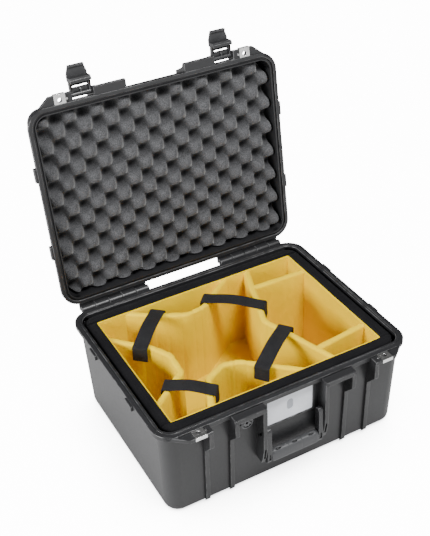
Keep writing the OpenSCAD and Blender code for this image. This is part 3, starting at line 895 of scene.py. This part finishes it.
# -------------------------------------------------------------------- hard parts
@dataclass
class HardParts:
    """The moulded and metal parts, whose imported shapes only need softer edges."""

    body_edge: float = 0.9 * MM
    small_edge: float = 0.5 * MM
    fine_edge: float = 0.2 * MM

    def build(self) -> None:
        """Soften and dress every hard part."""
        softened("base_shell", Finish.SHELL, self.body_edge)
        softened("lid_shell", Finish.LID, self.body_edge)
        for node, finish in (
            ("latch_frame_left", Finish.LATCH),
            ("latch_frame_right", Finish.LATCH),
            ("latch_lever_left", Finish.LEVER),
            ("latch_lever_right", Finish.LEVER),
            ("handle_frame", Finish.HANDLE),
            ("lid_seal", Finish.SEAL),
        ):
            softened(node, finish, self.small_edge)
        for node, finish in (
            ("base_lock_plates", Finish.PLATE),
            ("lid_lock_plates", Finish.PLATE),
            ("base_lock_screws", Finish.SCREW),
            ("lid_lock_screws", Finish.SCREW),
            ("valve_body", Finish.VALVE),
            ("valve_nut", Finish.VALVE),
            ("valve_seal", Finish.SEAL),
            ("id_card", Finish.CARD),
            ("card_window", Finish.WINDOW),
            ("hinge_pin_left", Finish.PIN),
            ("hinge_pin_right", Finish.PIN),
            ("handle_pin_left", Finish.PIN),
            ("handle_pin_right", Finish.PIN),
            ("latch_pin_left", Finish.PIN),
            ("latch_pin_right", Finish.PIN),
            ("lever_pin_left", Finish.PIN),
            ("lever_pin_right", Finish.PIN),
            ("lever_spring_left", Finish.SPRING),
            ("lever_spring_right", Finish.SPRING),
        ):
            softened(node, finish, self.fine_edge)


@dataclass
class WindowNotch:
    """Thumb notch of the card window: an oval dish, darker grey than the window."""

    width: float = 12 * MM
    height: float = 22 * MM
    above_sill: float = 29.7 * MM
    recess: float = 0.35 * MM

    def build(self) -> None:
        """Build the notch in front of the window."""
        low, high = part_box("card_window")
        centre = Vector(((low.x + high.x) / 2, low.y + self.recess, low.z + self.above_sill))
        rings = []
        for share, deep in ((1.0, 0.0), (0.92, 0.25), (0.55, 0.1)):
            ring = []
            for k in range(48):
                a = math.tau * k / 48
                straight = (self.height - self.width) / 2 * (1 if math.sin(a) > 0 else -1)
                r = self.width / 2 * share
                flat = Vector((r * math.cos(a), 0.0, r * math.sin(a) + straight * share))
                ring.append(centre + flat + Vector((0.0, -deep * MM, 0.0)))
            rings.append(ring)
        bm = bmesh.new()
        rows = bridge(bm, rings)
        bm.faces.new(rows[-1])
        bm.faces.new(list(reversed(rows[0])))
        place(mesh_object("window_thumb_notch", bm), "base", Finish.NOTCH)


@dataclass
class ValveFace:
    """Front of the pressure valve: a raised ring round two curved slots."""

    ring: float = 9.4 * MM
    thick: float = 1.1 * MM
    slot_way: float = 6.2 * MM
    slot_wide: float = 2.2 * MM

    def build(self) -> None:
        """Build the ring, and the slots as thin black plates on the face: painted shade for their depth."""
        low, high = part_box("valve_body")
        centre = Vector(((low.x + high.x) / 2, low.y, (low.z + high.z) / 2))
        bm = bmesh.new()
        rings = []
        for k in range(64):
            a = math.tau * k / 64
            out = Vector((math.cos(a), 0.0, math.sin(a)))
            rings.append([
                centre + out * (self.ring + self.thick * math.cos(b))
                + Vector((0.0, self.thick * math.sin(b), 0.0))
                for b in (math.tau * i / 12 for i in range(12))
            ])
        bridge(bm, rings + [rings[0]])
        bmesh.ops.remove_doubles(bm, verts=bm.verts, dist=1e-6)
        place(mesh_object("valve_ring", bm), "base", Finish.VALVE)
        # Painted shade: each slot is a thin dark plate laid on the valve's face, not an opening.
        for name, start in (("valve_slot_shade_left", 100.0), ("valve_slot_shade_right", 10.0)):
            bm = bmesh.new()
            outline = self._slot(math.radians(start), math.radians(start + 62.0))
            front = [centre + Vector((p.x, -0.25 * MM, p.y)) for p in outline]
            back = [p + Vector((0.0, 0.6 * MM, 0.0)) for p in front]
            rows = bridge(bm, [front, back])
            bm.faces.new(rows[0])
            bm.faces.new(list(reversed(rows[1])))
            place(mesh_object(name, bm), "base", Finish.SEAL)

    def _slot(self, start: float, end: float) -> list[Vector]:
        """Outline of one curved slot, from one angle to the other."""
        turns = [start + (end - start) * k / 12 for k in range(13)]
        outer = self.slot_way + self.slot_wide / 2
        inner = self.slot_way - self.slot_wide / 2
        return [Vector((math.cos(a), math.sin(a))) * outer for a in turns] + [
            Vector((math.cos(a), math.sin(a))) * inner for a in reversed(turns)
        ]


@dataclass
class CarryGrip:
    """Rubber grip moulded round the handle's bar, with a middle band and three thumb dishes, painted black inside
    as their shade.
    """

    flare: float = 7 * MM
    band: float = 13 * MM
    dish_deep: float = 2.6 * MM
    dish_long: float = 5 * MM
    dish_wide: float = 3.2 * MM
    dishes: tuple[float, ...] = (-33 * MM, 0.0, 33 * MM)
    around: int = 96

    def build(self) -> None:
        """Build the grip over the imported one."""
        low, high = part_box("handle_grip")
        centre = (low + high) / 2
        half = (high - low) / 2
        bm = bmesh.new()
        stations = 150
        rings = []
        for k in range(stations + 1):
            x = half.x * (2 * k / stations - 1)
            near_end = max(0.0, 1 - (half.x - abs(x)) / self.flare)
            share = 1 - 0.16 * near_end ** 2
            seam = math.exp(-(((abs(x) - self.band) / (0.5 * MM)) ** 2))
            share -= 0.035 * seam
            rings.append([self._point(centre, half, x, a, share) for a in self._turns()])
        rows = bridge(bm, rings)
        bm.faces.new(rows[0])
        bm.faces.new(list(reversed(rows[-1])))
        cover = mesh_object("grip_rubber_cover", bm, 55.0)
        place(cover, "handle", Finish.GRIP, "handle_grip")
        # Painted shade: the faces inside the thumb dishes take the black seal finish, for the shade that fills
        # them.
        cover.data.materials.append(Finish.SEAL.material())
        for face in cover.data.polygons:
            at = face.center - centre
            turn = math.atan2(at.z / half.z, -at.y / half.y)
            if self._dish(at.x, turn, half) > 0.45:
                face.material_index = 1

    def _turns(self) -> list[float]:
        """Angles round the grip, from its front."""
        return [math.tau * i / self.around for i in range(self.around)]

    def _dish(self, x: float, a: float, half: Vector) -> float:
        """Tell how deep in a thumb dish a point of the skin lies, from 0 to 1."""
        deep = 0.0
        for at in self.dishes:
            along = (x - at) / self.dish_long
            up = (a - math.radians(74)) * half.z / self.dish_wide
            deep = max(deep, math.exp(-((along ** 2 + up ** 2) ** 3)))
        return deep

    def _point(self, centre: Vector, half: Vector, x: float, a: float, share: float) -> Vector:
        """Give one point of the grip's skin."""
        c, s = math.cos(a), math.sin(a)
        out = 1 / (abs(c) ** 2.6 + abs(s) ** 2.6) ** (1 / 2.6)
        flat = Vector((0.0, -half.y * c * out * share, half.z * s * out * share))
        deep = self._dish(x, a, half)
        length = flat.length
        flat *= (length - self.dish_deep * deep) / length
        return centre + Vector((x, 0.0, 0.0)) + flat


@dataclass
class ClosingWebs:
    """Thin webs that close the sight lines through the hinges and through the latches' necks."""

    hinge_span: Point2 = (79 * MM, 215.5 * MM)
    skirt_y: Point2 = (187 * MM, 205 * MM)
    skirt_z: Point2 = (193.2 * MM, 198 * MM)
    neck_inset: float = 1.0 * MM
    neck_thick: float = 1.6 * MM
    lever_dip: float = 2.2 * MM  # the lever's lower edge drops 1.8 mm over its travel

    def build(self) -> None:
        """Build a skirt on the lid over each hinge and a web in each latch's neck."""
        turn = lid_turn()
        for side, sign in (("left", -1), ("right", 1)):
            x0, x1 = sorted(sign * x for x in self.hinge_span)
            low = Vector((x0, self.skirt_y[0], self.skirt_z[0]))
            high = Vector((x1, self.skirt_y[1], self.skirt_z[1]))
            skirt = self._block(f"hinge_skirt_{side}", low, high)
            skirt.data.transform(turn)
            place(skirt, "lid", Finish.LID)
        for side in ("left", "right"):
            low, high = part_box(f"latch_frame_{side}")
            pin_low, pin_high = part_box(f"lever_pin_{side}")
            lever_low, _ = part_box(f"latch_lever_{side}")
            back = pin_high.y + 2.2 * MM
            web = self._block(
                f"latch_neck_web_{side}",
                Vector((low.x + self.neck_inset, back, low.z + 5 * MM)),
                Vector((high.x - self.neck_inset, back + self.neck_thick, lever_low.z - self.lever_dip)),
            )
            place(web, f"latch_{side}", Finish.LATCH)

    @staticmethod
    def _block(name: str, low: Vector, high: Vector) -> bpy.types.Object:
        """Build a block with rounded edges between two corners."""
        bm = bmesh.new()
        bmesh.ops.create_cube(bm, size=1.0)
        middle, span = (low + high) / 2, high - low
        for vertex in bm.verts:
            vertex.co = Vector(c * s + m for c, s, m in zip(vertex.co, span, middle))
        bmesh.ops.bevel(bm, geom=bm.edges[:], offset=0.4 * MM, segments=2, profile=0.5, affect="EDGES")
        return mesh_object(name, bm)


def lid_turn() -> Matrix:
    """Turn from the closed lid's place to the lid at rest, about the hinge."""
    hinge = next(j for j in frame["joints"] if j["name"] == "lid_hinge")
    at = Matrix.Translation(Vector(hinge["pos_m"]))
    angle = math.radians(-hinge["range_deg"][1])
    return at @ Matrix.Rotation(angle, 4, "X") @ at.inverted()


# ------------------------------------------------------------------ padded insert
@dataclass
class Insert:
    """Sizes of the padded insert that its pieces share."""

    half_x: float = 206.45 * MM
    half_y: float = 151.45 * MM
    pad: float = 20 * MM
    corner: float = 22.2 * MM
    deck: float = 16.4 * MM
    pad_top: float = 187 * MM
    divider_top: float = 182 * MM
    divider: float = 12 * MM
    lining: float = 2.4 * MM

    def plan(self, points: list[Point2]) -> list[Vector]:
        """Turn plan points in millimetres into metres."""
        return [Vector((x, y)) * MM for x, y in points]


def stuffed_prism(
    name: str, outline: list[Vector], low: float, high: float, edge: float, crown: float, slump: float
) -> bpy.types.Object:
    """Build a pad that stands on a plan outline, with rounded edges and a crowned top.

    Args:
        name: the object's name.
        outline: plan outline, anticlockwise.
        low: height of its underside.
        high: height of its top's edge.
        edge: radius of its rounded edges.
        crown: how far the top rises in the middle.
        slump: how unevenly its faces lie.

    Returns:
        The pad.
    """
    outline = resampled(outline, 6 * MM)
    normals = outline_normals(outline)
    levels = [(edge * (1 - math.cos(a)), high - edge + edge * math.sin(a)) for a in (
        math.radians(t) for t in (0, 18, 36, 54, 72, 90)
    )]
    levels.append((edge * 1.6, high + crown * 0.6))
    levels.append((edge * 2.3, high + crown))
    span = high - low - 2 * edge
    sides = [(0.0, low + edge + span * k / 8) for k in range(8)]
    foot = [(edge, low), (edge * 0.3, low + edge * 0.3)]
    bm = bmesh.new()
    rings = []
    for inset, z in foot + sides + levels:
        ring = []
        for p, out in zip(outline, normals):
            at = p - out * inset
            lift = noise.noise(Vector((at.x, at.y, z)) * 28.0) * slump
            ring.append(Vector((at.x - out.x * lift, at.y - out.y * lift, z + lift * (z > high - edge))))
        rings.append(ring)
    under, over = rings[0], rings[-1]
    rings = shrinking(under)[::-1] + rings + shrinking(over)
    rows = bridge(bm, rings)
    bm.faces.new(rows[-1])
    bm.faces.new(list(reversed(rows[0])))
    return mesh_object(name, bm, 60.0)


def shrinking(ring: list[Vector]) -> list[list[Vector]]:
    """Give ever smaller copies of a convex ring, down to its middle."""
    middle = sum(ring, Vector((0.0, 0.0, 0.0))) / len(ring)
    return [[middle.lerp(p, share) for p in ring] for share in (0.75, 0.5, 0.25, 0.02)]


@dataclass
class WallPads:
    """Black foam pads round the walls, the floor pad, and the yellow linings on their inner faces."""

    insert: Insert
    edge: float = 3.2 * MM
    slump: float = 0.5 * MM
    lining_drop: float = 3.0 * MM

    def build(self) -> None:
        """Build the pads and linings."""
        s = self.insert
        back = self._end_outline()
        front = [Vector((-p.x, -p.y)) for p in back]
        side = self._box(s.half_x, s.half_x + s.pad, -s.half_y + 0.2 * MM, s.half_y - 0.2 * MM)
        left = [Vector((-p.x, -p.y)) for p in side]
        for name, outline in (("back", back), ("front", front), ("right", side), ("left", left)):
            pad = stuffed_prism(
                f"pad_{name}", outline, s.deck, s.pad_top - 0.6 * MM, self.edge, 0.6 * MM, self.slump
            )
            place(pad, "base", Finish.LINER, f"liner_{name}")
        self._floor()
        self._linings()

    def _end_outline(self) -> list[Vector]:
        """Outline of the back pad, which fills the tub's two rounded corners."""
        s = self.insert
        cx, cy = s.half_x + s.pad - s.corner, s.half_y + s.pad - s.corner
        start = math.asin((s.half_y - cy) / s.corner)
        arc = []
        for k in range(13):
            a = start + (math.pi / 2 - start) * k / 12
            arc.append(Vector((cx + s.corner * math.cos(a), cy + s.corner * math.sin(a))))
        return arc + [Vector((-p.x, p.y)) for p in reversed(arc)]

    @staticmethod
    def _box(x0: float, x1: float, y0: float, y1: float) -> list[Vector]:
        """Anticlockwise outline of a rectangle."""
        return [Vector((x0, y0)), Vector((x1, y0)), Vector((x1, y1)), Vector((x0, y1))]

    def _floor(self) -> None:
        """Floor pad and the yellow lining that lies on it."""
        s = self.insert
        low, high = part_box("liner_floor")
        outline = self._box(low.x, high.x, low.y, high.y)
        pad = stuffed_prism("pad_floor", outline, low.z, high.z - 0.4 * MM, 3 * MM, 0.3 * MM, 0.0)
        place(pad, "base", Finish.LINER, "liner_floor")
        box = self._box(-s.half_x, s.half_x, -s.half_y, s.half_y)
        lining = stuffed_prism("lining_floor", box, high.z - 1 * MM, high.z + s.lining, 0.9 * MM, 0.5 * MM, 0.0)
        place(lining, "base", Finish.DIVIDER)

    def _linings(self) -> None:
        """Yellow panels on the inner faces of the four wall pads."""
        s = self.insert
        top = s.pad_top - self.lining_drop
        x, y, t, in_pad = s.half_x, s.half_y, s.lining, 0.4 * MM
        for name, outline in (
            ("right", self._box(x - t, x + in_pad, -y, y)),
            ("left", self._box(-x - in_pad, -x + t, -y, y)),
            ("back", self._box(-x, x, y - t, y + in_pad)),
            ("front", self._box(-x, x, -y - in_pad, -y + t)),
        ):
            panel = stuffed_prism(f"lining_{name}", outline, s.deck, top, 1.1 * MM, 0.2 * MM, 0.3 * MM)
            place(panel, "base", Finish.DIVIDER)


@dataclass
class FoldedDivider:
    """One folding divider: a stuffed panel that stands on edge and bends at stitched folds."""

    name: str
    insert: Insert
    points: list[Point2]
    bend: float = 8 * MM
    seam: float = 11 * MM
    step: float = 2 * MM

    def build(self) -> None:
        """Sweep the divider along its path and cut its ends at the walls."""
        s = self.insert
        path, folds = self._path()
        normals = self._side_ways(path)
        rings, gone = [], 0.0
        for i, p in enumerate(path):
            gone += (p - path[i - 1]).length if i else 0.0
            pinch = max([0.0] + [
                math.exp(-(((gone - at + side * self.seam) / (1.8 * MM)) ** 2))
                for at in folds for side in (-1, 1)
            ])
            half = s.divider / 2 * (1 - 0.16 * pinch)
            top = s.divider_top - 0.7 * MM * pinch
            rings.append(self._section(p, normals[i], half, top, gone))
        bm = bmesh.new()
        rows = bridge(bm, rings)
        bm.faces.new(rows[0])
        bm.faces.new(list(reversed(rows[-1])))
        self._cut(bm)
        panel = mesh_object(self.name + "_stuffed", bm, 60.0)
        place(panel, "base", Finish.DIVIDER, self.name)

    def _path(self) -> tuple[list[Vector], list[float]]:
        """Give the path with rounded bends at an even step, and how far along its folds are."""
        corners = self.insert.plan(self.points)
        made, folds, length = [corners[0]], [], 0.0
        for before, at, after in zip(corners, corners[1:], corners[2:]):
            a, b = (before - at), (after - at)
            cut = min(self.bend, a.length * 0.45, b.length * 0.45)
            start, end = at + a.normalized() * cut, at + b.normalized() * cut
            length += (start - made[-1]).length
            arc = [start.lerp(at, t).lerp(at.lerp(end, t), t) for t in (k / 8 for k in range(9))]
            bow = sum((q - p).length for p, q in zip(arc, arc[1:]))
            folds.append(length + bow / 2)
            length += bow
            made += arc
        made.append(corners[-1])
        return resampled(made, self.step, closed=False), folds

    @staticmethod
    def _side_ways(path: list[Vector]) -> list[Vector]:
        """Unit vectors across the path at each of its points."""
        made = []
        for i in range(len(path)):
            way = (path[min(i + 1, len(path) - 1)] - path[max(i - 1, 0)]).normalized()
            made.append(Vector((way.y, -way.x)))
        return made

    def _section(self, p: Vector, out: Vector, half: float, top: float, gone: float) -> list[Vector]:
        """Ring of points round one upright section, softly uneven."""
        s = self.insert
        round_r = min(half * 0.85, 4.6 * MM)
        right = [(half, s.deck + (top - round_r - s.deck) * k / 9) for k in range(10)]
        arc = [
            (half - round_r + round_r * math.cos(a), top - round_r + round_r * math.sin(a))
            for a in (math.radians(t) for t in (18, 36, 54, 72, 90))
        ]
        profile = right + arc
        profile += [(-n, z) for n, z in reversed(profile)]
        ring = []
        for n, z in profile:
            at = p + out * n
            rough = noise.noise(Vector((at.x, at.y, z)) * 30.0) * 0.9 * MM
            rough += noise.noise(Vector((gone * 14, z * 30.0, n * 40))) * 0.12 * MM
            high = z > top - round_r
            ring.append(Vector((
                at.x + out.x * rough * (n > 0) - out.x * rough * (n < 0),
                at.y + out.y * rough * (n > 0) - out.y * rough * (n < 0),
                z + rough * 0.5 * high,
            )))
        return ring

    def _cut(self, bm: bmesh.types.BMesh) -> None:
        """Cut the panel at the insert's four walls and close the cuts."""
        s = self.insert
        gap = 0.8 * MM
        for co, no in (
            ((s.half_x - gap, 0, 0), (1, 0, 0)),
            ((-s.half_x + gap, 0, 0), (-1, 0, 0)),
            ((0, s.half_y - gap, 0), (0, 1, 0)),
            ((0, -s.half_y + gap, 0), (0, -1, 0)),
        ):
            everything = bm.verts[:] + bm.edges[:] + bm.faces[:]
            bmesh.ops.bisect_plane(bm, geom=everything, plane_co=co, plane_no=no, clear_outer=True)
            bmesh.ops.holes_fill(bm, edges=[e for e in bm.edges if e.is_boundary])


@dataclass
class Strap:
    """One hold-down strap laid over two dividers, with a tail down the far side of each."""

    name: str
    insert: Insert
    start: Vector
    end: Vector
    width: float = 28 * MM
    thick: float = 1.6 * MM
    over: float = 13 * MM
    tail: float = 28 * MM
    rise: float = 5 * MM

    def build(self) -> None:
        """Build the strap as a thin bent strip."""
        way = (self.end - self.start).normalized()
        across = Vector((way.y, -way.x, 0.0))
        line = self._line()
        bm = bmesh.new()
        mark = bm.verts.layers.float_vector.new("strap_way")
        rings, marks, gone = [], [], 0.0
        for i, p in enumerate(line):
            gone += (p - line[i - 1]).length if i else 0.0
            along = (line[min(i + 1, len(line) - 1)] - line[max(i - 1, 0)]).normalized()
            up = Vector((-along.y, along.x))
            ring = []
            for u, v in self._edge():
                flat = p + up * v
                base = self.start + way * flat.x
                ring.append(Vector((base.x, base.y, flat.y)) + across * u)
                marks.append(Vector((gone, u, 0.0)))
            rings.append(ring)
        rows = bridge(bm, rings)
        for vertex, value in zip((v for row in rows for v in row), marks):
            vertex[mark] = value
        bm.faces.new(rows[0])
        bm.faces.new(list(reversed(rows[-1])))
        strip = mesh_object(self.name + "_webbing", bm, 50.0)
        place(strip, "base", Finish.STRAP, self.name)

    def _edge(self) -> list[Point2]:
        """Section of the strip: across it, and through it."""
        w, t = self.width / 2, self.thick / 2
        top = [(-w + 2 * w * k / 10, t) for k in range(11)]
        top[0], top[-1] = (-w, t * 0.4), (w, t * 0.4)
        return top + [(u, -v) for u, v in reversed(top)]

    def _line(self) -> list[Vector]:
        """Side view of the strap: how far from the start, and how high."""
        span = (self.end - self.start).length
        top = self.insert.divider_top + 0.5 * MM + self.thick / 2
        r = 3.2 * MM
        a, b = -self.over, span + self.over
        line = [Vector((a - 0.6 * MM, top - self.tail)), Vector((a, top - self.tail * 0.5))]
        line += [
            Vector((a + r - r * math.cos(t), top - r + r * math.sin(t)))
            for t in (math.pi / 2 * k / 6 for k in range(7))
        ]
        for k in range(1, 40):
            x = a + r + (b - a - 2 * r) * k / 40
            share = (x - a) / (b - a)
            line.append(Vector((x, top + self.rise * math.sin(math.pi * share) ** 2)))
        line += [
            Vector((b - r + r * math.sin(t), top - r + r * math.cos(t)))
            for t in (math.pi / 2 * k / 6 for k in range(7))
        ]
        line += [Vector((b, top - self.tail * 0.5)), Vector((b + 0.6 * MM, top - self.tail))]
        return line


@dataclass
class PaddedInsert:
    """The whole insert: wall pads, dividers that fit a four-armed craft, and four straps."""

    sizes: Insert = field(default_factory=Insert)
    left: tuple = ((-208, 102), (-150, 42), (-130, 4), (-134, -46), (-208, -100))
    front: tuple = ((-134, -156), (-104, -86), (-64, -66), (-34, -74), (56, -156))
    back: tuple = ((-150, 156), (-92, 114), (-50, 92), (-12, 98), (66, 156))
    right: tuple = ((112, 156), (60, 2), (112, -156))

    def build(self) -> None:
        """Build every piece of the insert."""
        WallPads(self.sizes).build()
        for name, points in (
            ("left", self.left),
            ("front", self.front),
            ("back", self.back),
            ("right", self.right),
            ("battery", (self._on(self.right, 0, 0.37), (210, 96))),
            ("controller", (self._on(self.right, 1, 0.73), (210, -100))),
        ):
            FoldedDivider(f"divider_{name}", self.sizes, list(points)).build()
        for name, start, end in (
            ("back_left", self._on(self.back, 0, 0.85), self._on(self.left, 0, 0.80)),
            ("back_right", self._on(self.back, 3, 0.20), self._on(self.right, 0, 0.72)),
            ("front_right", self._on(self.front, 3, 0.35), self._on(self.right, 1, 0.28)),
            ("front_left", self._on(self.front, 0, 0.62), self._on(self.left, 3, 0.45)),
        ):
            a, b = self.sizes.plan([start, end])
            Strap(f"strap_{name}", self.sizes, a, b).build()

    @staticmethod
    def _on(path: tuple, leg: int, share: float) -> Point2:
        """Give a point part of the way along one leg of a path."""
        (x0, y0), (x1, y1) = path[leg], path[leg + 1]
        return x0 + share * (x1 - x0), y0 + share * (y1 - y0)


# ----------------------------------------------------------------- convoluted foam
@dataclass
class ConvolutedFoam:
    """Egg-crate foam in the lid, shaped in the closed lid's place and then turned with it."""

    half_x: float = 226.4 * MM
    half_y: float = 171.4 * MM
    corner: float = 24 * MM
    middle: float = 208.5 * MM
    depth: float = 14 * MM
    back: float = 233 * MM
    pitch_x: float = 51.6 * MM
    pitch_y: float = 48.8 * MM
    peak: Point2 = (-164.2 * MM, -162.0 * MM)
    cells_x: int = 150
    cells_y: int = 114

    def build(self) -> None:
        """Build the foam."""
        turn = lid_turn()
        bm = bmesh.new()
        pit_shade = bm.verts.layers.float.new("pit_shade")
        grid = []
        for j in range(self.cells_y + 1):
            row = []
            for i in range(self.cells_x + 1):
                x, y = self._plan(2 * i / self.cells_x - 1, 2 * j / self.cells_y - 1)
                z = self._height(x, y)
                row.append(bm.verts.new(Vector((x, y, z))))
                # Painted shade: how deep each point lies in a pit, which the foam material uses to darken it.
                row[-1][pit_shade] = max(0.0, min(1.0, (z - self.middle) / self.depth))
            grid.append(row)
        for below, above in zip(grid, grid[1:]):
            for i in range(self.cells_x):
                bm.faces.new((below[i], below[i + 1], above[i + 1], above[i]))
        rim = [e for e in bm.edges if e.is_boundary]
        skirt = bmesh.ops.extrude_edge_only(bm, edges=rim)["geom"]
        for vertex in (g for g in skirt if isinstance(g, bmesh.types.BMVert)):
            vertex.co.z = self.back
        bmesh.ops.holes_fill(bm, edges=[e for e in bm.edges if e.is_boundary])
        for vertex in bm.verts:
            vertex.co = turn @ vertex.co
        foam = place(mesh_object("lid_egg_crate", bm, 70.0), "lid", Finish.FOAM, "lid_foam")

    def _plan(self, u: float, v: float) -> Point2:
        """Place a point of the square grid in the lid's rounded outline."""
        x, y = u * self.half_x, v * self.half_y
        cx, cy = self.half_x - self.corner, self.half_y - self.corner
        dx, dy = abs(x) - cx, abs(y) - cy
        if dx > 0 and dy > 0:
            shrink = max(dx, dy) / math.hypot(dx, dy)
            x = math.copysign(cx + dx * shrink, x)
            y = math.copysign(cy + dy * shrink, y)
        return x, y

    def _height(self, x: float, y: float) -> float:
        """Height of the foam's face: rows of fingers, each between pits."""
        a = math.tau * (x - self.peak[0]) / self.pitch_x
        b = math.tau * (y - self.peak[1]) / self.pitch_y
        s = math.cos(a) * math.cos(b)
        shaped = s ** 0.6 if s > 0 else -((-s) ** 0.9)
        rough = noise.noise(Vector((x, y, 0.0)) * 60.0) * 0.6 * MM
        return self.middle - self.depth * shaped + rough


def main() -> None:
    """Build the whole scene."""
    logging.basicConfig(level=logging.INFO, format="%(name)s: %(message)s")
    Studio().build()
    for part in (
        HardParts(), WindowNotch(), ValveFace(), CarryGrip(), ClosingWebs(), PaddedInsert(), ConvolutedFoam(),
    ):
        part.build()
        log.info("built %s", type(part).__name__)


if __name__ == "__main__":
    main()
